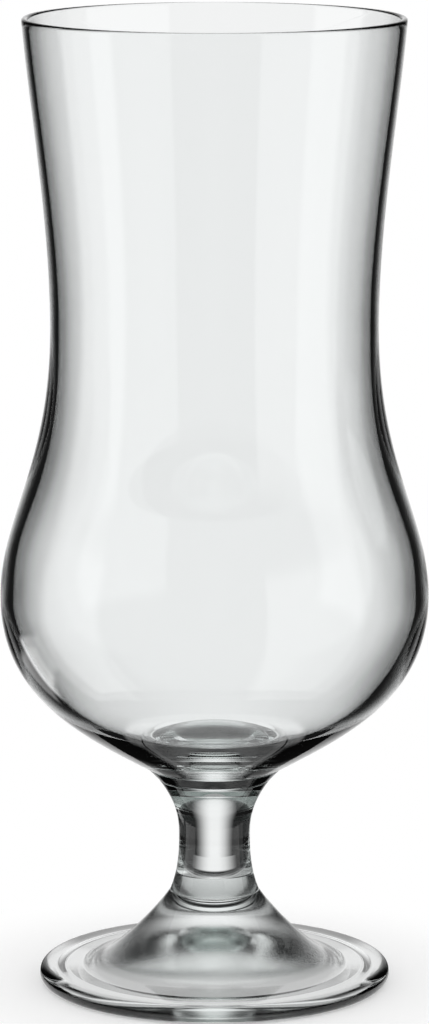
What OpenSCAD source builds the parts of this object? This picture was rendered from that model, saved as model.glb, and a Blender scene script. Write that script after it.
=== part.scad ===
// Hurricane glass for long drinks. Four pieces of clear glass are fused hot, one on another:
// the pressed foot, the solid stem, the collar and the blown bowl. All of them are turned about Z.
// The glass stands on Z = 0 with its mouth up, and its axis is the Z axis.

/* [Bowl] */
// Height of the bowl, from its base on the collar to the rim
bowl_h = 154.6; // [140:0.1:175]
// Outer diameter at the rim
rim_d = 78; // [72:0.1:86]
// Outward lean of the wall at the rim, in degrees
rim_flare = 5; // [2:0.5:8]
// Outer diameter at the waist
waist_d = 67; // [60:0.1:72]
// Height of the waist above the bowl's base
waist_h = 91.9; // [80:0.1:105]
// Outer diameter at the belly
belly_d = 88; // [80:0.1:96]
// Height of the belly above the bowl's base
belly_h = 35.9; // [30:0.1:42]
// Rise of the bowl's underside where it leaves the collar, in degrees
underside_rise = 29.5; // [24:0.5:34]

/* [Wall and floor] */
// Wall at the rim
rim_wall = 1.35; // [1:0.05:2]
// Wall at the waist
waist_wall = 1.7; // [1.2:0.05:2.4]
// Wall at the belly
belly_wall = 2.5; // [1.6:0.05:3]
// Glass between the collar and the inner floor, at the foot of its mound
floor_t = 3.9; // [3:0.1:7]
// Height of the low mound in the middle of the inner floor
mound_h = 3.8; // [1:0.1:5]
// Diameter of the mound
mound_d = 29; // [22:0.5:34]

/* [Collar] */
// Diameter of the collar's top, which carries the bowl
collar_d = 28; // [26:0.1:32]
// Height of the collar
collar_h = 2.5; // [1.5:0.1:3.5]

/* [Stem] */
// Height of the stem, from the foot to the collar
stem_h = 23.6; // [20:0.1:40]
// Diameter of the stem's top, fused to the collar
stem_top_d = 23.2; // [20:0.1:25.5]
// Diameter of the stem at its narrowest
stem_d = 14.7; // [12:0.1:16]
// Height of the narrowest place above the stem's own base
stem_waist_h = 11.5; // [9:0.1:14]
// Diameter of the stem's base, fused to the foot
stem_base_d = 18.4; // [17:0.1:20]
// Slope of the stem's side at its top, in degrees from level
stem_top_slope = 53; // [45:1:60]
// Slope of the stem's side at its base, in degrees from level
stem_base_slope = 68; // [60:1:74]

/* [Foot] */
// Height of the foot, from the table to the stem
foot_h = 19.3; // [17:0.1:24]
// Slope of the foot's flank where it leaves the stem, in degrees from level
foot_top_slope = 56; // [50:1:64]
// Diameter of the foot
foot_d = 72.6; // [66:0.1:80]
// Thickness of the foot's rounded edge
edge_t = 4; // [3:0.1:5]
// Slope of the plate's top, in degrees from level
plate_slope = 4; // [2:0.5:6]
// Diameter of the foot of the conical flank
flank_d = 46; // [42:0.1:50]
// Slope at the foot of the flank, in degrees from level
flank_slope = 31; // [26:1:36]
// Width of the soft blend between flank and plate
blend_w = 3; // [1:0.1:4]
// Width of the flat ring that the glass rests on
rest_w = 2; // [1.2:0.1:3]
// Depth of the shallow recess within that ring
recess_h = 0.8; // [0.4:0.1:1.2]
// Width of the recess's sloping side
recess_w = 1.6; // [1:0.1:2.4]
// Diameter of the domed hollow at its mouth
hollow_d = 54; // [46:0.1:58]
// Height of the hollow's top above the table
hollow_h = 10.5; // [6:0.1:12]
// Slope of the hollow's side at its mouth, in degrees from level
hollow_slope = 21; // [16:1:26]

/* [Smoothness] */
// Steps along each curve of an outline
curve_steps = 12; // [8:1:24]
// Steps along the curves of the bowl's base
base_steps = 24; // [16:1:48]
// Facets round the axis
round_steps = 120; // [48:12:180]

/* [Hidden] */

glass_tint = [0.83, 0.88, 0.87, 0.45];
thick_glass_tint = [0.72, 0.80, 0.79, 0.55];

// Where each piece starts above the table
stem_z = foot_h;
collar_z = stem_z + stem_h;
bowl_z = collar_z + collar_h;

// The bowl's key heights above the table
rim_z = bowl_z + bowl_h;
waist_z = bowl_z + waist_h;
belly_z = bowl_z + belly_h;
floor_z = bowl_z + floor_t;

// The handles of each curve, as shares of the height between its ends. The two of a base curve are
// the upper one, as a share of that height, and the lower one, as a share of the width between the ends.
mouth_outer_shares = [0.30, 0.35];
mouth_inner_shares = [0.28, 0.32];
shoulder_outer_shares = [0.515, 0.29];
shoulder_inner_shares = [0.63, 0.31];
base_outer_shares = [0.543, 0.581];
base_inner_shares = [0.557, 0.568];
stem_upper_shares = [0.50, 0.32];
stem_lower_shares = [0.39, 0.33];
flank_shares = [0.295, 0.46];
hollow_shares = [0.45, 0.33];
// How far the handles of the foot's blend reach towards its corner
blend_share = 0.6;

// A point on a cubic curve with the ends a and d and the handles b and c
function cubic(a, b, c, d, t) =
    pow(1 - t, 3) * a + 3 * pow(1 - t, 2) * t * b + 3 * (1 - t) * t * t * c + pow(t, 3) * d;

// The points of such a curve after its first
function curve(a, b, c, d, steps = curve_steps) = [for (i = [1:steps]) cubic(a, b, c, d, i / steps)];

// A unit step in [radius, height] at an angle from level
function heading(angle) = [cos(angle), sin(angle)];

// The points after the first of an arc about a centre, from one angle to another
function arc(centre, r, from, to) =
    [for (i = [1:curve_steps]) centre + r * heading(from + (to - from) * i / curve_steps)];

// From the rim down to the waist
function mouth_curve(rim, waist, shares) =
    let (h = rim[1] - waist[1])
    curve(rim, rim - h * shares[0] * heading(90 - rim_flare), waist + [0, h * shares[1]], waist);

// From the waist down to the belly
function shoulder_curve(waist, belly, shares) =
    let (h = waist[1] - belly[1])
    curve(waist, waist - [0, h * shares[0]], belly + [0, h * shares[1]], belly);

// From the belly down to the base, which it reaches at a slope
function base_curve(belly, base, slope, shares) =
    let (h = belly[1] - base[1], w = belly[0] - base[0])
    curve(belly, belly - [0, h * shares[0]], base + w * shares[1] * heading(slope), base, base_steps);

// How much of the mound's height is reached at a radius: all of it on the axis, none at the mound's foot
function mound_share(r) = r < mound_d / 2 ? pow(1 - pow(2 * r / mound_d, 2), 2) : 0;

// A point of the inner floor, raised onto the mound
function raised(point) = point + [0, mound_h * mound_share(point[0])];

// The blown bowl: outline up the inside, over the rounded rim and down the outside
module bowl() {
    rim_bead_r = rim_wall / 2;
    rim_centre = [rim_d / 2 - rim_bead_r, rim_z - rim_bead_r];
    rim_inner = rim_centre - rim_bead_r * [1, 0];
    rim_outer = rim_centre + rim_bead_r * [1, 0];
    waist_outer = [waist_d / 2, waist_z];
    waist_inner = [waist_d / 2 - waist_wall, waist_z];
    belly_outer = [belly_d / 2, belly_z];
    belly_inner = [belly_d / 2 - belly_wall, belly_z];
    base_outer = [collar_d / 2, bowl_z];
    floor_centre = [0, floor_z];
    outer = concat(
        mouth_curve(rim_outer, waist_outer, mouth_outer_shares),
        shoulder_curve(waist_outer, belly_outer, shoulder_outer_shares),
        base_curve(belly_outer, base_outer, underside_rise, base_outer_shares));
    inner = concat(
        mouth_curve(rim_inner, waist_inner, mouth_inner_shares),
        shoulder_curve(waist_inner, belly_inner, shoulder_inner_shares),
        [for (point = base_curve(belly_inner, floor_centre, 0, base_inner_shares)) raised(point)]);
    color(glass_tint)
        rotate_extrude($fn = round_steps)
            polygon(concat(
                [rim_inner],
                arc(rim_centre, rim_bead_r, 180, 0),
                outer,
                [[0, bowl_z]],
                [for (i = [len(inner) - 1:-1:0]) inner[i]]));
}

// The collar: a wafer of glass that narrows from the bowl's base to the stem's top
module collar() {
    color(thick_glass_tint)
        rotate_extrude($fn = round_steps)
            polygon([
                [0, collar_z],
                [stem_top_d / 2, collar_z],
                [collar_d / 2, bowl_z],
                [0, bowl_z]]);
}

// The solid stem, drawn in to a waist below its middle
module stem() {
    top = [stem_top_d / 2, collar_z];
    narrowest = [stem_d / 2, stem_z + stem_waist_h];
    base = [stem_base_d / 2, stem_z];
    upper_h = top[1] - narrowest[1];
    lower_h = narrowest[1] - base[1];
    color(thick_glass_tint)
        rotate_extrude($fn = round_steps)
            polygon(concat(
                [[0, collar_z], top],
                curve(
                    top,
                    top - upper_h * stem_upper_shares[0] * heading(stem_top_slope),
                    narrowest + [0, upper_h * stem_upper_shares[1]],
                    narrowest),
                curve(
                    narrowest,
                    narrowest - [0, lower_h * stem_lower_shares[0]],
                    base + lower_h * stem_lower_shares[1] * heading(180 - stem_base_slope),
                    base),
                [[0, stem_z]]));
}

// The pressed foot: flank, plate and rounded edge above, resting ring, recess and domed hollow below
module foot() {
    edge_r = edge_t / 2;
    edge_centre = [foot_d / 2 - edge_r, edge_r];
    plate_rim = edge_centre + edge_r * heading(90 - plate_slope);
    // Where the flank's line would meet the plate's, in the middle of the blend
    blend_r = (flank_d + blend_w) / 2;
    blend_corner = [blend_r, plate_rim[1] + (plate_rim[0] - blend_r) * tan(plate_slope)];
    flank_end = blend_corner + blend_w / 2 * [-1, tan(flank_slope)];
    plate_end = blend_corner + blend_w / 2 * [1, -tan(plate_slope)];
    top = [stem_base_d / 2, stem_z];
    flank_w = flank_end[0] - top[0];
    hollow_mouth = [hollow_d / 2, recess_h];
    hollow_top = [0, hollow_h];
    color(glass_tint)
        rotate_extrude($fn = round_steps)
            polygon(concat(
                [[0, stem_z], top],
                curve(
                    top,
                    top + flank_w * flank_shares[0] * heading(-foot_top_slope),
                    flank_end + flank_w * flank_shares[1] * heading(180 - flank_slope),
                    flank_end),
                curve(
                    flank_end,
                    flank_end + (blend_corner - flank_end) * blend_share,
                    plate_end + (blend_corner - plate_end) * blend_share,
                    plate_end),
                [plate_rim],
                arc(edge_centre, edge_r, 90 - plate_slope, -90),
                [[edge_centre[0] - rest_w, 0]],
                [[edge_centre[0] - rest_w - recess_w, recess_h]],
                [hollow_mouth],
                curve(
                    hollow_mouth,
                    hollow_mouth + hollow_mouth[0] * hollow_shares[0] * heading(180 - hollow_slope),
                    hollow_top + [hollow_mouth[0] * hollow_shares[1], 0],
                    hollow_top)));
}

bowl();
collar();
stem();
foot();
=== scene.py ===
"""Hurricane glass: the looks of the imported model, built around its frame."""

import math

import bpy
from bpy.props import FloatProperty, FloatVectorProperty, IntProperty, PointerProperty
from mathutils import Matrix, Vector


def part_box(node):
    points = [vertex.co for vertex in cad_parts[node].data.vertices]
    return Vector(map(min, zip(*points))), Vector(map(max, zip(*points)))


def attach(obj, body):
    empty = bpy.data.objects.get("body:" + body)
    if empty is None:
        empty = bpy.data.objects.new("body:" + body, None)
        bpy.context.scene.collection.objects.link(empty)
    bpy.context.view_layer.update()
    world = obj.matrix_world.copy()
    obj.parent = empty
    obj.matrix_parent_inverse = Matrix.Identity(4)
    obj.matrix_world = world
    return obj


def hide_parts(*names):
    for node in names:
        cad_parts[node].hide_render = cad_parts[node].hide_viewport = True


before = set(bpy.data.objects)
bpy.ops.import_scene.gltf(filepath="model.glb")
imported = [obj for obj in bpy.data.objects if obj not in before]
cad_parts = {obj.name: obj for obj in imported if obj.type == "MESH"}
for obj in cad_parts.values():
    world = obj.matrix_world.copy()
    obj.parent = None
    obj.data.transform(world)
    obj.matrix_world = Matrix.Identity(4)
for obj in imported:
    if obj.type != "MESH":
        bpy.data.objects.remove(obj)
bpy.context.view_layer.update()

bl_info = {
    "name": "Hurricane Glass",
    "version": (1, 0, 0),
    "blender": (4, 5, 0),
    "location": "3D View > Sidebar > Hurricane Glass",
    "description": "Builds a clear footed glass in four fused pieces, and the studio around it",
    "category": "Object",
}

MM = 0.001

# The handles of each curve, as shares of the height or width between its ends, as in the CAD source
MOUTH_OUTER, MOUTH_INNER = (0.30, 0.35), (0.28, 0.32)
SHOULDER_OUTER, SHOULDER_INNER = (0.515, 0.29), (0.63, 0.31)
BASE_OUTER, BASE_INNER = (0.543, 0.581), (0.557, 0.568)
STEM_UPPER, STEM_LOWER = (0.50, 0.32), (0.39, 0.33)
FLANK, HOLLOW = (0.295, 0.46), (0.45, 0.33)
BLEND = 0.6

# Steps along each stretch of the outlines, and round the table
WALL_STEPS, BASE_STEPS, BEAD_STEPS, SEAM_STEPS = 56, 64, 20, 6
COLLAR_STEPS, STEM_STEPS = 8, 48
FLANK_STEPS, BLEND_STEPS, PLATE_STEPS, EDGE_STEPS = 64, 16, 8, 32
REST_STEPS, RECESS_SIDE_STEPS, RECESS_ROOF_STEPS, HOLLOW_STEPS = 3, 4, 8, 48
TABLE_STEPS = 128

# How the pieces are turned: the length of their ripples, the reach of a weld, how near a face lies to a
# seam that it belongs to, and the Z of the normals that count as facing down
RIPPLE_LENGTH = 22 * MM
WELD_REACH = 0.001 * MM
SEAM_REACH = 0.0002 * MM
FACING_DOWN = -0.3

# The finish of the glass: how far cords are drawn out along the axis, how deep they go, how large the
# patches of a satin face are, and how much they differ
CORD_STRETCH = 0.35
CORD_DEPTH = 0.01 * MM
PATCH_LENGTH = 6 * MM
PATCH_LEAST, PATCH_MOST = 0.8, 1.2

# The paper on the table, its own glow, its drop below the glass, and the shares of its radius between
# which it fades into the background
PAPER = "#E7E7E7"
PAPER_GLOW = 0.25
TABLE_DROP = 0.1 * MM
TABLE_FADE_SHARES = (0.6, 0.97)

# The painted light and shade that the glass sees on the table: the radii between which the painted light at
# its centre dims, the softness of the two edges of the painted shadow round the foot, and the painted lit
# ring (start, end, fade) with the turns between which it comes on
PAINTED_CENTRE_DIMMING = (6 * MM, 20 * MM)
PAINTED_SHADE_SOFTNESS, PAINTED_LIGHT_SOFTNESS = 3 * MM, 2 * MM
PAINTED_LIT_RING = (27 * MM, 40 * MM, 4 * MM)
PAINTED_RING_TURNS = (math.radians(50), math.radians(70))

# The studio, in degrees of elevation and azimuth: where the panel widens, where the ceiling comes on,
# how softly a flag ends, and each softbox's strength, azimuths and elevations (start, end, fade)
PANEL_WIDENS = (-3, 14)
CEILING_STARTS = (50, 65)
FLAG_FADE = 3
SOFTBOXES = (
    ("left_box", (-112, -76, 6), (-90, 14, 12)),
    ("right_box", (94, 150, 4), (-90, 14, 12)),
    ("left_box", (-58, -36, 6), (-34, -23, 3)),
)

# The camera's place, its tilt below level, its lens and sensor in millimetres, and its clipping range
CAMERA_PLACE = (0, -1.0639, 0.2872)
CAMERA_TILT = math.radians(10.05)
LENS, SENSOR = 185.35, 36
CLIP_START, CLIP_END = 0.01, 100

# The seams between the pieces and the rim, above the table
FOOT_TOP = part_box("foot")[1].z
STEM_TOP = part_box("stem")[1].z
BOWL_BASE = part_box("bowl")[0].z
RIM_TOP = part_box("bowl")[1].z


def length(name, description, millimetres):
    """A length that a user may change, given in millimetres."""
    return FloatProperty(
        name=name, description=description, default=millimetres * MM, unit="LENGTH", precision=5
    )


def angle(name, description, degrees):
    """An angle that a user may change, given in degrees."""
    return FloatProperty(
        name=name, description=description, default=math.radians(degrees), subtype="ANGLE"
    )


def level(name, description, value):
    """A brightness that a user may change, where 1 is white."""
    return FloatProperty(name=name, description=description, default=value, min=0, soft_max=1)


def linear(colour):
    """An sRGB hex colour as the linear one that shaders use."""
    parts = [int(colour[i:i + 2], 16) / 255 for i in (1, 3, 5)]
    return tuple(c / 12.92 if c <= 0.04045 else ((c + 0.055) / 1.055) ** 2.4 for c in parts)


class BowlSizes(bpy.types.PropertyGroup):
    """Sizes of the blown bowl"""

    rim_d: length("Rim", "Outer diameter at the rim", 78)
    rim_flare: angle("Rim flare", "Outward lean of the wall at the rim", 5)
    waist_d: length("Waist", "Outer diameter at the waist", 67)
    waist_h: length("Waist height", "Height of the waist above the bowl's base", 91.9)
    belly_d: length("Belly", "Outer diameter at the belly", 88)
    belly_h: length("Belly height", "Height of the belly above the bowl's base", 35.9)
    rise: angle("Underside rise", "Rise of the underside where it leaves the collar", 29.5)
    rim_wall: length("Rim wall", "Thickness of the glass at the rim", 1.35)
    waist_wall: length("Waist wall", "Thickness of the glass at the waist", 1.7)
    belly_wall: length("Belly wall", "Thickness of the glass at the belly", 2.5)
    floor_t: length("Floor", "Glass between the collar and the inner floor", 3.9)
    mound_h: length("Mound height", "Height of the low mound in the middle of the floor", 3.8)
    mound_d: length("Mound", "Diameter of the mound", 29)


class StemSizes(bpy.types.PropertyGroup):
    """Sizes of the collar and the stem"""

    collar_d: length("Collar", "Diameter of the collar's top", 28)
    top_d: length("Stem top", "Diameter where the stem meets the collar", 23.2)
    top_slope: angle("Top slope", "Slope of the side at the stem's top, from level", 53)
    waist_d: length("Stem", "Diameter of the stem at its narrowest", 14.7)
    waist_h: length("Narrowest height", "Height of the narrowest place above the stem's base", 11.5)
    base_d: length("Stem base", "Diameter where the stem meets the foot", 18.4)
    base_slope: angle("Base slope", "Slope of the side at the stem's base, from level", 68)


class FootSizes(bpy.types.PropertyGroup):
    """Sizes of the pressed foot"""

    foot_d: length("Foot", "Diameter of the foot", 72.6)
    top_slope: angle("Top slope", "Slope of the flank where it leaves the stem, from level", 56)
    edge_t: length("Edge", "Thickness of the rounded edge", 4)
    plate_slope: angle("Plate slope", "Slope of the plate's top, from level", 4)
    flank_d: length("Flank", "Diameter of the foot of the flank", 46)
    flank_slope: angle("Flank slope", "Slope at the foot of the flank, from level", 31)
    blend_w: length("Blend", "Width of the blend between flank and plate", 3)
    rest_w: length("Resting ring", "Width of the flat ring that the glass rests on", 2)
    recess_h: length("Recess depth", "Depth of the recess within the ring", 0.8)
    recess_w: length("Recess side", "Width of the recess's sloping side", 1.6)
    hollow_d: length("Hollow", "Diameter of the domed hollow at its mouth", 54)
    hollow_h: length("Hollow height", "Height of the hollow's top above the table", 10.5)
    hollow_slope: angle("Hollow slope", "Slope of the hollow's side at its mouth", 21)


class GlassLook(bpy.types.PropertyGroup):
    """How the glass looks"""

    ior: FloatProperty(name="IOR", description="Refractive index of soda-lime glass", default=1.52)
    surface: FloatVectorProperty(
        name="Surface", description="Colour of the light that a surface lets through",
        default=linear("#FCFDFD"), size=3, subtype="COLOR", min=0, max=1,
    )
    body: FloatVectorProperty(
        name="Body colour", description="Colour that thick glass takes from its iron",
        default=linear("#DDEBE7"), size=3, subtype="COLOR", min=0, max=1,
    )
    density: FloatProperty(
        name="Absorption", description="Strength of the body colour, for each metre", default=6, min=0
    )
    blown_ripple: length("Bowl ripple", "Height of the slow ripples that blowing leaves", 0.012)
    drawn_ripple: length("Stem ripple", "Height of the ripples that drawing leaves", 0.02)
    pressed_ripple: length("Foot ripple", "Height of the ripples that pressing leaves", 0.03)
    satin: FloatProperty(
        name="Satin", description="Roughness of the hollow under the foot, where the mould chilled it",
        default=0.18, min=0, max=1,
    )
    facets: IntProperty(name="Facets", description="Facets round each turned piece", default=240, min=24)


class StudioLook(bpy.types.PropertyGroup):
    """Lights, flags and table"""

    flag: level("Flags", "Brightness of the black flags beside the panel", 0.01)
    flag_edge: angle("Flag edge", "Turn to either side at which a flag ends", 76)
    fill: level("Fill", "Brightness of the room beyond the flags", 0.35)
    ceiling: level("Ceiling", "Brightness of the ceiling", 0.35)
    panel: level("Panel", "Brightness of the panel behind the glass", 0.96)
    panel_in: angle("Panel core", "Turn at which the panel starts to fade", 2.5)
    panel_out: angle("Panel edge", "Turn at which the panel ends, below level", 24.5)
    panel_high: angle("High panel edge", "Turn at which the panel ends, above level", 28)
    panel_top: angle("Panel top", "Height above level at which the panel starts to fade", 45)
    panel_fade: angle("Panel fade", "Height over which the panel fades", 25)
    left_box: level("Left softbox", "Brightness of the softbox on the left", 1)
    right_box: level("Right softbox", "Brightness of the softbox on the right", 0.95)
    table_r: length("Table", "Radius of the table top", 75)
    # What the glass sees of the table is painted: painted light at its centre, under and round the foot, and
    # a painted shadow ring round the foot between the shade's start and end
    painted_centre_light: level("Table centre", "Brightness of the table at its centre", 0.75)
    painted_light_under_foot: level("Table under the foot", "Brightness of the table under the foot", 0.48)
    painted_light_round_foot: level("Table round the foot", "Brightness of the table in front and beside the foot", 0.72)
    painted_shade_in: length("Shade start", "Radius at which the shade round the foot starts", 33)
    painted_shade_out: length("Shade end", "Radius at which the shade round the foot ends", 45.5)


def heading(slope):
    """A unit step in radius and height, at a slope from level."""
    return Vector((math.cos(slope), math.sin(slope)))


def cubic(a, b, c, d, steps):
    """The points after the first of a cubic curve from a to d with the handles b and c."""
    points = []
    for i in range(1, steps + 1):
        t = i / steps
        s = 1 - t
        points.append(s ** 3 * a + 3 * s * s * t * b + 3 * s * t * t * c + t ** 3 * d)
    return points


def arc(centre, r, start, end, steps):
    """The points after the first of an arc about a centre."""
    return [centre + r * heading(start + (end - start) * i / steps) for i in range(1, steps + 1)]


def line(a, b, steps):
    """The points after the first of a straight stretch."""
    return [a.lerp(b, i / steps) for i in range(1, steps + 1)]


def wall(rim, waist, belly, base, flare, slope, mouth, shoulder, foot):
    """One side of the bowl's wall, from the rim to its base."""
    mouth_h = rim.y - waist.y
    shoulder_h = waist.y - belly.y
    base_h = belly.y - base.y
    base_w = belly.x - base.x
    up = Vector((0, 1))
    from_rim = rim - heading(math.pi / 2 - flare) * mouth_h * mouth[0]
    to_base = base + heading(slope) * base_w * foot[1]
    below_waist = waist - up * shoulder_h * shoulder[0]
    above_belly = belly + up * shoulder_h * shoulder[1]
    return (
        cubic(rim, from_rim, waist + up * mouth_h * mouth[1], waist, WALL_STEPS)
        + cubic(waist, below_waist, above_belly, belly, WALL_STEPS)
        + cubic(belly, belly - up * base_h * foot[0], to_base, base, BASE_STEPS)
    )


def bowl_outline(sizes, collar_d):
    """From the inner floor's centre up the inside, over the rim, down the outside and across the base."""
    bead = sizes.rim_wall / 2
    side = Vector((bead, 0))
    rim = Vector((sizes.rim_d / 2 - bead, RIM_TOP - bead))
    waist = Vector((sizes.waist_d / 2, BOWL_BASE + sizes.waist_h))
    belly = Vector((sizes.belly_d / 2, BOWL_BASE + sizes.belly_h))
    base = Vector((collar_d / 2, BOWL_BASE))
    floor_centre = Vector((0, BOWL_BASE + sizes.floor_t))
    outer = wall(
        rim + side, waist, belly, base, sizes.rim_flare, sizes.rise,
        MOUTH_OUTER, SHOULDER_OUTER, BASE_OUTER,
    )
    inner = wall(
        rim - side, waist - Vector((sizes.waist_wall, 0)), belly - Vector((sizes.belly_wall, 0)),
        floor_centre, sizes.rim_flare, 0,
        MOUTH_INNER, SHOULDER_INNER, BASE_INNER,
    )
    for point in inner:
        out = 2 * point.x / sizes.mound_d
        if out < 1 and point.y < belly.y:
            point.y += sizes.mound_h * (1 - out * out) ** 2
    return (
        inner[::-1] + [rim - side] + arc(rim, bead, math.pi, 0, BEAD_STEPS) + outer
        + line(base, Vector((0, BOWL_BASE)), SEAM_STEPS)
    )


def collar_outline(sizes):
    """From the bowl's seam down the collar's side to the stem's seam."""
    top_centre, low_centre = Vector((0, BOWL_BASE)), Vector((0, STEM_TOP))
    top, low = Vector((sizes.collar_d / 2, BOWL_BASE)), Vector((sizes.top_d / 2, STEM_TOP))
    return (
        [top_centre] + line(top_centre, top, SEAM_STEPS) + line(top, low, COLLAR_STEPS)
        + line(low, low_centre, SEAM_STEPS)
    )


def stem_outline(sizes):
    """From the collar's seam down the drawn-in side to the foot's seam."""
    top = Vector((sizes.top_d / 2, STEM_TOP))
    narrowest = Vector((sizes.waist_d / 2, FOOT_TOP + sizes.waist_h))
    base = Vector((sizes.base_d / 2, FOOT_TOP))
    upper_h, lower_h = top.y - narrowest.y, narrowest.y - base.y
    up = Vector((0, 1))
    from_top = top - heading(sizes.top_slope) * upper_h * STEM_UPPER[0]
    to_base = base + heading(math.pi - sizes.base_slope) * lower_h * STEM_LOWER[1]
    return (
        [Vector((0, STEM_TOP))] + line(Vector((0, STEM_TOP)), top, SEAM_STEPS)
        + cubic(top, from_top, narrowest + up * upper_h * STEM_UPPER[1], narrowest, STEM_STEPS)
        + cubic(narrowest, narrowest - up * lower_h * STEM_LOWER[0], to_base, base, STEM_STEPS)
        + line(base, Vector((0, FOOT_TOP)), SEAM_STEPS)
    )


def foot_outline(sizes, stem_base_d):
    """From the stem's seam down the flank, over the plate and round the edge, then back under the foot."""
    edge_r = sizes.edge_t / 2
    edge = Vector((sizes.foot_d / 2 - edge_r, edge_r))
    plate_rim = edge + edge_r * heading(math.pi / 2 - sizes.plate_slope)
    corner_r = (sizes.flank_d + sizes.blend_w) / 2
    corner = Vector((corner_r, plate_rim.y + (plate_rim.x - corner_r) * math.tan(sizes.plate_slope)))
    flank_end = corner + sizes.blend_w / 2 * Vector((-1, math.tan(sizes.flank_slope)))
    plate_end = corner + sizes.blend_w / 2 * Vector((1, -math.tan(sizes.plate_slope)))
    top = Vector((stem_base_d / 2, FOOT_TOP))
    flank_w = flank_end.x - top.x
    rest = Vector((edge.x - sizes.rest_w, 0))
    recess = Vector((rest.x - sizes.recess_w, sizes.recess_h))
    mouth = Vector((sizes.hollow_d / 2, sizes.recess_h))
    crown = Vector((0, sizes.hollow_h))
    from_top = top + heading(-sizes.top_slope) * flank_w * FLANK[0]
    to_flank_end = flank_end + heading(math.pi - sizes.flank_slope) * flank_w * FLANK[1]
    from_mouth = mouth + heading(math.pi - sizes.hollow_slope) * mouth.x * HOLLOW[0]
    from_flank, to_plate = flank_end.lerp(corner, BLEND), plate_end.lerp(corner, BLEND)
    return (
        [Vector((0, FOOT_TOP))] + line(Vector((0, FOOT_TOP)), top, SEAM_STEPS)
        + cubic(top, from_top, to_flank_end, flank_end, FLANK_STEPS)
        + cubic(flank_end, from_flank, to_plate, plate_end, BLEND_STEPS)
        + line(plate_end, plate_rim, PLATE_STEPS)
        + arc(edge, edge_r, math.pi / 2 - sizes.plate_slope, -math.pi / 2, EDGE_STEPS)
        + line(Vector((edge.x, 0)), rest, REST_STEPS) + line(rest, recess, RECESS_SIDE_STEPS)
        + line(recess, mouth, RECESS_ROOF_STEPS)
        + cubic(mouth, from_mouth, crown + Vector((mouth.x * HOLLOW[1], 0)), crown, HOLLOW_STEPS)
    )


def add_node(tree, kind, links=None, **settings):
    """Adds a node. Each input named or numbered in links takes a node's first output, a socket or a value."""
    node = tree.nodes.new(kind)
    for name, value in settings.items():
        setattr(node, name, value)
    for key, value in (links or {}).items():
        if isinstance(value, bpy.types.Node):
            value = value.outputs[0]
        if isinstance(value, bpy.types.NodeSocket):
            tree.links.new(value, node.inputs[key])
        else:
            node.inputs[key].default_value = value
    return node


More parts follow.
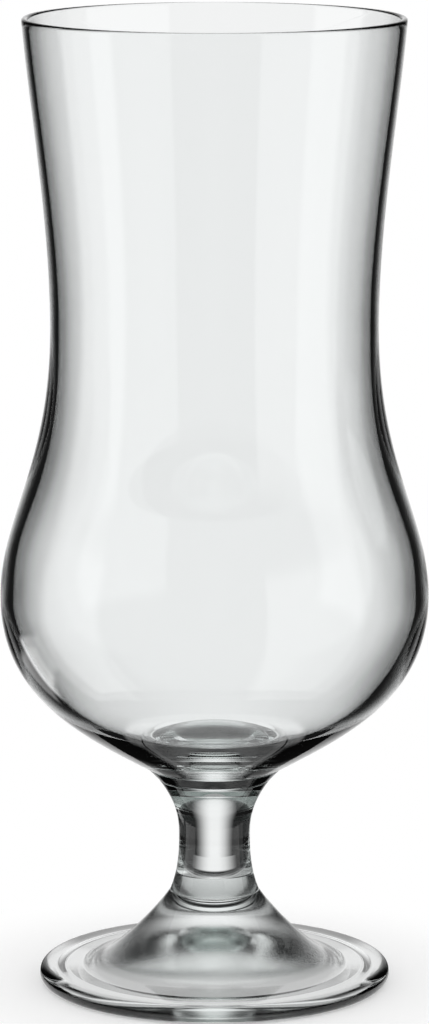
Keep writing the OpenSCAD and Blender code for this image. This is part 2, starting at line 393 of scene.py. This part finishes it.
def turning_tree():
    """Turns an outline about Z: row i of a grid takes the outline's point i, and its columns go round."""
    tree = bpy.data.node_groups.get("Turned glass")
    if tree:
        return tree
    tree = bpy.data.node_groups.new("Turned glass", "GeometryNodeTree")
    for name, kind in (
        ("Outline", "NodeSocketGeometry"), ("Facets", "NodeSocketInt"), ("Ripple", "NodeSocketFloat"),
        ("Seed", "NodeSocketFloat"), ("Lower seam", "NodeSocketFloat"), ("Upper seam", "NodeSocketFloat"),
        ("Glass", "NodeSocketMaterial"), ("Hollow", "NodeSocketMaterial"),
        ("Hollow radius", "NodeSocketFloat"), ("Fused seam", "NodeSocketMaterial"),
    ):
        tree.interface.new_socket(name, in_out="INPUT", socket_type=kind)
    tree.interface.new_socket("Piece", in_out="OUTPUT", socket_type="NodeSocketGeometry")
    given = add_node(tree, "NodeGroupInput").outputs
    here = add_node(tree, "GeometryNodeInputPosition")
    count = add_node(tree, "GeometryNodeAttributeDomainSize", {0: given["Outline"]}, component="MESH")
    columns = add_node(tree, "ShaderNodeMath", {0: given["Facets"], 1: 1.0}, operation="ADD")
    # The grid is 1 wide and centred, so its X and Y run from -0.5 to 0.5
    grid = add_node(
        tree, "GeometryNodeMeshGrid",
        {"Size X": 1.0, "Size Y": 1.0, "Vertices X": count, "Vertices Y": columns},
    )
    place = add_node(tree, "ShaderNodeSeparateXYZ", {0: here})
    last = add_node(tree, "ShaderNodeMath", {0: count, 1: 1.0}, operation="SUBTRACT")
    along = add_node(tree, "ShaderNodeMath", {0: place.outputs["X"], 1: 0.5}, operation="ADD")
    row = add_node(tree, "ShaderNodeMath", {0: along, 1: last}, operation="MULTIPLY")
    row = add_node(tree, "ShaderNodeMath", {0: row}, operation="ROUND")
    turn = add_node(tree, "ShaderNodeMath", {0: place.outputs["Y"], 1: math.tau}, operation="MULTIPLY")
    point = add_node(
        tree, "GeometryNodeSampleIndex", {"Geometry": given["Outline"], "Value": here, "Index": row},
        data_type="FLOAT_VECTOR", domain="POINT",
    )
    turned = add_node(
        tree, "ShaderNodeVectorRotate", {"Vector": point, "Axis": (0, 0, 1), "Angle": turn},
        rotation_type="AXIS_ANGLE",
    )
    # Ripples draw the surface in towards the axis and never out, so the size holds
    noise = add_node(
        tree, "ShaderNodeTexNoise",
        {"Vector": turned, "W": given["Seed"], "Scale": 1 / RIPPLE_LENGTH, "Detail": 1.0, "Roughness": 0.4},
        noise_dimensions="4D",
    )
    depth = add_node(tree, "ShaderNodeMath", {0: noise, 1: given["Ripple"]}, operation="MULTIPLY")
    inward = add_node(tree, "ShaderNodeVectorMath", {0: turned, 1: (-1, -1, 0)}, operation="MULTIPLY")
    inward = add_node(tree, "ShaderNodeVectorMath", {0: inward}, operation="NORMALIZE")
    offset = add_node(tree, "ShaderNodeVectorMath", {0: inward, "Scale": depth}, operation="SCALE")
    placed = add_node(
        tree, "GeometryNodeSetPosition", {"Geometry": grid, "Position": turned, "Offset": offset}
    )
    merged = add_node(tree, "GeometryNodeMergeByDistance", {"Geometry": placed, "Distance": WELD_REACH})
    smooth = add_node(tree, "GeometryNodeSetShadeSmooth", {"Geometry": merged}, domain="FACE")
    height = add_node(tree, "ShaderNodeSeparateXYZ", {0: here})
    seams = [
        add_node(
            tree, "FunctionNodeCompare", {0: height.outputs["Z"], 1: given[name], "Epsilon": SEAM_REACH},
            data_type="FLOAT", operation="EQUAL",
        )
        for name in ("Lower seam", "Upper seam")
    ]
    fused = add_node(tree, "FunctionNodeBooleanMath", {0: seams[0], 1: seams[1]}, operation="OR")
    flat = add_node(
        tree, "GeometryNodeSetShadeSmooth", {"Geometry": smooth, "Selection": fused, "Shade Smooth": False},
        domain="FACE",
    )
    real = add_node(tree, "GeometryNodeRealizeInstances", {"Geometry": flat})
    glass = add_node(tree, "GeometryNodeSetMaterial", {"Geometry": real, "Material": given["Glass"]})
    facing = add_node(tree, "ShaderNodeSeparateXYZ", {0: add_node(tree, "GeometryNodeInputNormal")})
    down = add_node(
        tree, "FunctionNodeCompare", {0: facing.outputs["Z"], 1: FACING_DOWN}, data_type="FLOAT",
        operation="LESS_THAN",
    )
    level_part = add_node(tree, "ShaderNodeVectorMath", {0: here, 1: (1, 1, 0)}, operation="MULTIPLY")
    out = add_node(tree, "ShaderNodeVectorMath", {0: level_part}, operation="LENGTH")
    within = add_node(
        tree, "FunctionNodeCompare", {0: out.outputs["Value"], 1: given["Hollow radius"]},
        data_type="FLOAT", operation="LESS_THAN",
    )
    hollow = add_node(tree, "FunctionNodeBooleanMath", {0: down, 1: within}, operation="AND")
    glass = add_node(
        tree, "GeometryNodeSetMaterial",
        {"Geometry": glass, "Selection": hollow, "Material": given["Hollow"]},
    )
    seam = add_node(
        tree, "GeometryNodeSetMaterial",
        {"Geometry": glass, "Selection": fused, "Material": given["Fused seam"]},
    )
    add_node(tree, "NodeGroupOutput", {0: seam})
    return tree


def turn_piece(name, outline, node, glass, ripple, seed, seams, hollow=None, hollow_r=0.0):
    """Turns an outline into a closed piece that stands for a CAD node."""
    mesh = bpy.data.meshes.new(name)
    edges = [(i, i + 1) for i in range(len(outline) - 1)]
    mesh.from_pydata([(point.x, 0, point.y) for point in outline], edges, [])
    piece = bpy.data.objects.new(name, mesh)
    bpy.context.scene.collection.objects.link(piece)
    tree = turning_tree()
    modifier = piece.modifiers.new("Turning", "NODES")
    modifier.node_group = tree
    values = {
        "Facets": bpy.context.scene.glass_look.facets, "Ripple": ripple, "Seed": seed,
        "Lower seam": seams[0], "Upper seam": seams[1], "Glass": glass,
        "Hollow": hollow or glass, "Hollow radius": hollow_r, "Fused seam": hot_fused_seam(),
    }
    for item in tree.interface.items_tree:
        if item.in_out == "INPUT" and item.name in values:
            modifier[item.identifier] = values[item.name]
    graph = bpy.context.evaluated_depsgraph_get()
    made = bpy.data.meshes.new_from_object(piece.evaluated_get(graph))
    piece.modifiers.remove(modifier)
    # The tree's result leads with an empty material slot
    if made.materials[0] is None:
        made.materials.pop(index=0)
    piece.data = made
    made.name = name
    bpy.data.meshes.remove(mesh)
    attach(piece, "root")
    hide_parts(node)


def new_material(name):
    """An empty node material."""
    material = bpy.data.materials.new(name)
    material.use_nodes = True
    material.node_tree.nodes.clear()
    return material


def body_colour(tree):
    """The iron's green, which deepens with the glass that the light has crossed."""
    look = bpy.context.scene.glass_look
    return add_node(
        tree, "ShaderNodeVolumeAbsorption", {"Color": (*look.body, 1), "Density": look.density}
    )


def soda_lime(name, cord_length, bump, satin):
    """Soda-lime glass: an even fire polish over faint cords, and satin where a mould has chilled it."""
    look = bpy.context.scene.glass_look
    material = new_material(name)
    tree = material.node_tree
    here = add_node(tree, "ShaderNodeTexCoord").outputs["Object"]
    # Cords run up the glass, so their noise is drawn out along the axis
    drawn = add_node(tree, "ShaderNodeMapping", {"Vector": here, "Scale": (1, 1, CORD_STRETCH)})
    cords = add_node(
        tree, "ShaderNodeTexNoise",
        {"Vector": drawn, "Scale": 1 / cord_length, "Detail": 2.0, "Roughness": 0.5},
    )
    relief = add_node(tree, "ShaderNodeBump", {"Height": cords, "Strength": bump, "Distance": CORD_DEPTH})
    patches = add_node(
        tree, "ShaderNodeTexNoise",
        {"Vector": here, "Scale": 1 / PATCH_LENGTH, "Detail": 2.0, "Roughness": 0.5},
    )
    rough = add_node(
        tree, "ShaderNodeMapRange",
        {0: patches, 1: 0.3, 2: 0.7, 3: satin * PATCH_LEAST, 4: satin * PATCH_MOST},
    )
    glass = add_node(
        tree, "ShaderNodeBsdfPrincipled",
        {"Base Color": (*look.surface, 1), "IOR": look.ior, "Transmission Weight": 1.0,
         "Roughness": rough, "Normal": relief},
    )
    add_node(tree, "ShaderNodeOutputMaterial", {"Surface": glass, "Volume": body_colour(tree)})
    return material


def hot_fused_seam():
    """A hot-fused join: no surface is left, so the eye sees straight from one piece into the next."""
    material = bpy.data.materials.get("hot_fused_seam")
    if material:
        return material
    material = new_material("hot_fused_seam")
    tree = material.node_tree
    clear = add_node(tree, "ShaderNodeBsdfTransparent")
    add_node(tree, "ShaderNodeOutputMaterial", {"Surface": clear, "Volume": body_colour(tree)})
    return material


class HURRICANE_OT_bowl(bpy.types.Operator):
    """Turns the blown bowl"""

    bl_idname = "hurricane.bowl"
    bl_label = "Bowl"

    def execute(self, context):
        scene = context.scene
        outline = bowl_outline(scene.bowl_sizes, scene.stem_sizes.collar_d)
        # Blown glass: both faces fire-polished, thin enough to look colourless, with long soft cords
        glass = soda_lime("soda_lime_blown", cord_length=14 * MM, bump=0.15, satin=0.0)
        turn_piece(
            "bowl_glass", outline, "bowl", glass,
            ripple=scene.glass_look.blown_ripple, seed=1.0, seams=(BOWL_BASE, BOWL_BASE),
        )
        return {"FINISHED"}


class HURRICANE_OT_stem(bpy.types.Operator):
    """Turns the collar and the stem"""

    bl_idname = "hurricane.stem"
    bl_label = "Collar and stem"

    def execute(self, context):
        scene = context.scene
        sizes, ripple = scene.stem_sizes, scene.glass_look.drawn_ripple
        # Drawn glass: solid, so it works as a lens, dark at its sides and green where it is thickest
        glass = soda_lime("soda_lime_drawn", cord_length=7 * MM, bump=0.15, satin=0.0)
        turn_piece(
            "collar_wafer", collar_outline(sizes), "collar", glass,
            ripple=ripple, seed=2.0, seams=(STEM_TOP, BOWL_BASE),
        )
        turn_piece(
            "stem_shank", stem_outline(sizes), "stem", glass,
            ripple=ripple, seed=3.0, seams=(FOOT_TOP, STEM_TOP),
        )
        return {"FINISHED"}


class HURRICANE_OT_foot(bpy.types.Operator):
    """Turns the pressed foot"""

    bl_idname = "hurricane.foot"
    bl_label = "Foot"

    def execute(self, context):
        scene = context.scene
        outline = foot_outline(scene.foot_sizes, scene.stem_sizes.base_d)
        # Pressed glass: polished, with deeper ripples that bend the lights into uneven arcs
        glass = soda_lime("soda_lime_pressed", cord_length=9 * MM, bump=0.25, satin=0.0)
        # The mould's plunger chills the hollow, and its satin softens all that shows through the foot
        satin = scene.glass_look.satin
        hollow = soda_lime("soda_lime_mould_chilled", cord_length=9 * MM, bump=0.25, satin=satin)
        turn_piece(
            "foot_disc", outline, "foot", glass,
            ripple=scene.glass_look.pressed_ripple, seed=4.0, seams=(FOOT_TOP, FOOT_TOP),
            hollow=hollow, hollow_r=scene.foot_sizes.hollow_d / 2,
        )
        return {"FINISHED"}


def soft_band(tree, value, low, high, fade):
    """1 from low to high, fading to 0 on both sides."""
    rise = add_node(
        tree, "ShaderNodeMapRange", {0: value, 1: low - fade, 2: low}, interpolation_type="SMOOTHSTEP"
    )
    fall = add_node(
        tree, "ShaderNodeMapRange", {0: value, 1: high, 2: high + fade, 3: 1.0, 4: 0.0},
        interpolation_type="SMOOTHSTEP",
    )
    return add_node(tree, "ShaderNodeMath", {0: rise, 1: fall}, operation="MULTIPLY")


def turned_away(tree, place):
    """How far a place is turned to either side from straight behind the glass."""
    turn = add_node(
        tree, "ShaderNodeMath", {0: place.outputs["X"], 1: place.outputs["Y"]}, operation="ARCTAN2"
    )
    return add_node(tree, "ShaderNodeMath", {0: turn}, operation="ABSOLUTE")


def brightest(tree, first, *rest):
    """The brightest of several lights at each place."""
    for light in rest:
        first = add_node(tree, "ShaderNodeMath", {0: first, 1: light}, operation="MAXIMUM")
    return first


class HURRICANE_OT_studio(bpy.types.Operator):
    """Sets up the table, the lights and the camera"""

    bl_idname = "hurricane.studio"
    bl_label = "Studio"

    def table(self, scene):
        """A white table top. To the eye it holds the glass's soft shadow and fades into the background at its
        edge; every other ray sees painted light on it, with a painted shadow ring round the foot.
        """
        look = scene.studio_look
        mesh = bpy.data.meshes.new("table_top")
        ring = [look.table_r * heading(math.tau * i / TABLE_STEPS) for i in range(TABLE_STEPS)]
        corners = [(point.x, point.y, -TABLE_DROP) for point in ring]
        mesh.from_pydata(corners, [], [list(range(TABLE_STEPS))])
        table = bpy.data.objects.new("table_top", mesh)
        scene.collection.objects.link(table)
        # Matt white paper, which gives the eye a plain white with the glass's soft shadow on it
        paper = new_material("white_paper_and_painted_light")
        mesh.materials.append(paper)
        tree = paper.node_tree
        here = add_node(tree, "ShaderNodeTexCoord").outputs["Object"]
        far = add_node(tree, "ShaderNodeVectorMath", {0: here}, operation="LENGTH").outputs["Value"]
        # Painted light, seen only through the glass: bright at the table's centre under the foot, dimming
        # outwards
        middle = add_node(
            tree, "ShaderNodeMapRange",
            {0: far, 1: PAINTED_CENTRE_DIMMING[0], 2: PAINTED_CENTRE_DIMMING[1], 3: look.painted_centre_light, 4: look.painted_light_under_foot},
        )
        # Painted shadow: a dark ring round the foot, from the shade's start to its end
        shade = add_node(
            tree, "ShaderNodeMapRange",
            {0: far, 1: look.painted_shade_in - PAINTED_SHADE_SOFTNESS, 2: look.painted_shade_in + PAINTED_SHADE_SOFTNESS, 3: 1.0, 4: 0.0},
            interpolation_type="SMOOTHSTEP",
        )
        under = add_node(tree, "ShaderNodeMath", {0: middle, 1: shade}, operation="MULTIPLY")
        # Beyond the painted shadow ring the painted light comes back
        beyond = add_node(
            tree, "ShaderNodeMapRange",
            {0: far, 1: look.painted_shade_out - PAINTED_LIGHT_SOFTNESS, 2: look.painted_shade_out + PAINTED_LIGHT_SOFTNESS},
            interpolation_type="SMOOTHSTEP",
        )
        turn = turned_away(tree, add_node(tree, "ShaderNodeSeparateXYZ", {0: here}))
        # A painted lit ring in front of and beside the foot
        front = add_node(
            tree, "ShaderNodeMapRange",
            {0: turn, 1: PAINTED_RING_TURNS[0], 2: PAINTED_RING_TURNS[1], 4: look.painted_light_round_foot},
            interpolation_type="SMOOTHSTEP",
        )
        side = soft_band(tree, far, *PAINTED_LIT_RING)
        side = add_node(tree, "ShaderNodeMath", {0: side, 1: front}, operation="MULTIPLY")
        # The panel's light painted on the table behind the glass
        panel = add_node(
            tree, "ShaderNodeMapRange",
            {0: turn, 1: look.panel_in, 2: look.panel_high, 3: look.panel, 4: 0.0},
            interpolation_type="SMOOTHSTEP",
        )
        lit = add_node(tree, "ShaderNodeMath", {0: panel, 1: beyond}, operation="MULTIPLY")
        near = brightest(tree, under, side, lit, look.flag)
        # The painted light and shade glow from the table as an emission
        painted_table_light = add_node(tree, "ShaderNodeEmission", {"Strength": near})
        white = add_node(tree, "ShaderNodeBsdfDiffuse", {"Color": (*linear(PAPER), 1)})
        glow = add_node(tree, "ShaderNodeEmission", {"Strength": PAPER_GLOW})
        paper_light = add_node(tree, "ShaderNodeAddShader", {0: white, 1: glow})
        backdrop = add_node(tree, "ShaderNodeEmission", {"Strength": 1.0})
        fade_start, fade_end = [look.table_r * share for share in TABLE_FADE_SHARES]
        edge = add_node(
            tree, "ShaderNodeMapRange", {0: far, 1: fade_start, 2: fade_end},
            interpolation_type="SMOOTHSTEP",
        )
        plain = add_node(tree, "ShaderNodeMixShader", {0: edge, 1: paper_light, 2: backdrop})
        # Every ray but the camera's sees the painted light and shade; the camera sees the paper
        path = add_node(tree, "ShaderNodeLightPath")
        seen = add_node(
            tree, "ShaderNodeMixShader", {0: path.outputs["Is Camera Ray"], 1: painted_table_light, 2: plain}
        )
        add_node(tree, "ShaderNodeOutputMaterial", {"Surface": seen})

    def lights(self, scene):
        """A white background, and around it the panel, softboxes and flags that give glass its edges."""
        look = scene.studio_look
        scene.world = bpy.data.worlds.new("studio")
        scene.world.use_nodes = True
        tree = scene.world.node_tree
        tree.nodes.clear()
        here = add_node(tree, "ShaderNodeTexCoord").outputs["Generated"]
        way = add_node(tree, "ShaderNodeSeparateXYZ", {0: here})
        elevation = add_node(tree, "ShaderNodeMath", {0: way.outputs["Z"]}, operation="ARCSINE")
        azimuth = turned_away(tree, way)
        low, high = [math.radians(degrees) for degrees in PANEL_WIDENS]
        edge = add_node(
            tree, "ShaderNodeMapRange",
            {0: elevation, 1: low, 2: high, 3: look.panel_out, 4: look.panel_high},
            interpolation_type="SMOOTHSTEP",
        )
        panel = add_node(
            tree, "ShaderNodeMapRange", {0: azimuth, 1: look.panel_in, 2: edge, 3: look.panel, 4: 0.0},
            interpolation_type="SMOOTHSTEP",
        )
        top = soft_band(tree, elevation, -math.pi / 2, look.panel_top, look.panel_fade)
        panel = add_node(tree, "ShaderNodeMath", {0: panel, 1: top}, operation="MULTIPLY")
        fill = soft_band(tree, azimuth, look.flag_edge, math.tau, math.radians(FLAG_FADE))
        fill = add_node(tree, "ShaderNodeMath", {0: fill, 1: look.fill}, operation="MULTIPLY")
        low, high = [math.radians(degrees) for degrees in CEILING_STARTS]
        ceiling = add_node(
            tree, "ShaderNodeMapRange", {0: elevation, 1: low, 2: high, 4: look.ceiling},
            interpolation_type="SMOOTHSTEP",
        )
        signed = add_node(
            tree, "ShaderNodeMath", {0: way.outputs["X"], 1: way.outputs["Y"]}, operation="ARCTAN2"
        )
        boxes = []
        for strength, azimuths, elevations in SOFTBOXES:
            across = soft_band(tree, signed, *[math.radians(degrees) for degrees in azimuths])
            upright = soft_band(tree, elevation, *[math.radians(degrees) for degrees in elevations])
            box = add_node(tree, "ShaderNodeMath", {0: across, 1: upright}, operation="MULTIPLY")
            lit = {0: box, 1: getattr(look, strength)}
            boxes.append(add_node(tree, "ShaderNodeMath", lit, operation="MULTIPLY"))
        studio = brightest(tree, panel, fill, ceiling, *boxes, look.flag)
        path = add_node(tree, "ShaderNodeLightPath")
        seen = add_node(tree, "ShaderNodeMix", {0: path.outputs["Is Glossy Ray"], 2: 1.0, 3: studio})
        back = add_node(tree, "ShaderNodeBackground", {"Color": (1, 1, 1, 1), "Strength": seen})
        add_node(tree, "ShaderNodeOutputWorld", {"Surface": back})

    def camera(self, scene):
        """A long lens about a metre away, looking slightly down."""
        data = bpy.data.cameras.new("photo_camera")
        data.lens = LENS
        data.sensor_width = SENSOR
        data.clip_start, data.clip_end = CLIP_START, CLIP_END
        camera = bpy.data.objects.new("photo_camera", data)
        scene.collection.objects.link(camera)
        camera.location = CAMERA_PLACE
        camera.rotation_euler = (math.pi / 2 - CAMERA_TILT, 0, 0)
        scene.camera = camera

    def execute(self, context):
        scene = context.scene
        self.table(scene)
        self.lights(scene)
        self.camera(scene)
        scene.view_settings.view_transform = "Standard"
        return {"FINISHED"}


class HURRICANE_PT_panel(bpy.types.Panel):
    """Lists the pieces and the studio"""

    bl_idname = "HURRICANE_PT_panel"
    bl_label = "Hurricane Glass"
    bl_space_type = "VIEW_3D"
    bl_region_type = "UI"
    bl_category = "Hurricane Glass"

    def draw(self, context):
        for operator, group in (
            ("hurricane.bowl", "bowl_sizes"), ("hurricane.stem", "stem_sizes"),
            ("hurricane.foot", "foot_sizes"), (None, "glass_look"), ("hurricane.studio", "studio_look"),
        ):
            box = self.layout.box()
            if operator:
                box.operator(operator)
            settings = getattr(context.scene, group)
            for name in settings.bl_rna.properties.keys():
                if name not in {"rna_type", "name"}:
                    box.prop(settings, name)


SETTINGS = {
    "bowl_sizes": BowlSizes, "stem_sizes": StemSizes, "foot_sizes": FootSizes,
    "glass_look": GlassLook, "studio_look": StudioLook,
}
CLASSES = (
    *SETTINGS.values(), HURRICANE_OT_bowl, HURRICANE_OT_stem, HURRICANE_OT_foot, HURRICANE_OT_studio,
    HURRICANE_PT_panel,
)


def register():
    for item in CLASSES:
        bpy.utils.register_class(item)
    for name, group in SETTINGS.items():
        setattr(bpy.types.Scene, name, PointerProperty(type=group))


def unregister():
    for name in SETTINGS:
        delattr(bpy.types.Scene, name)
    for item in reversed(CLASSES):
        bpy.utils.unregister_class(item)


def main():
    register()
    bpy.ops.hurricane.bowl()
    bpy.ops.hurricane.stem()
    bpy.ops.hurricane.foot()
    bpy.ops.hurricane.studio()


if __name__ == "__main__":
    main()
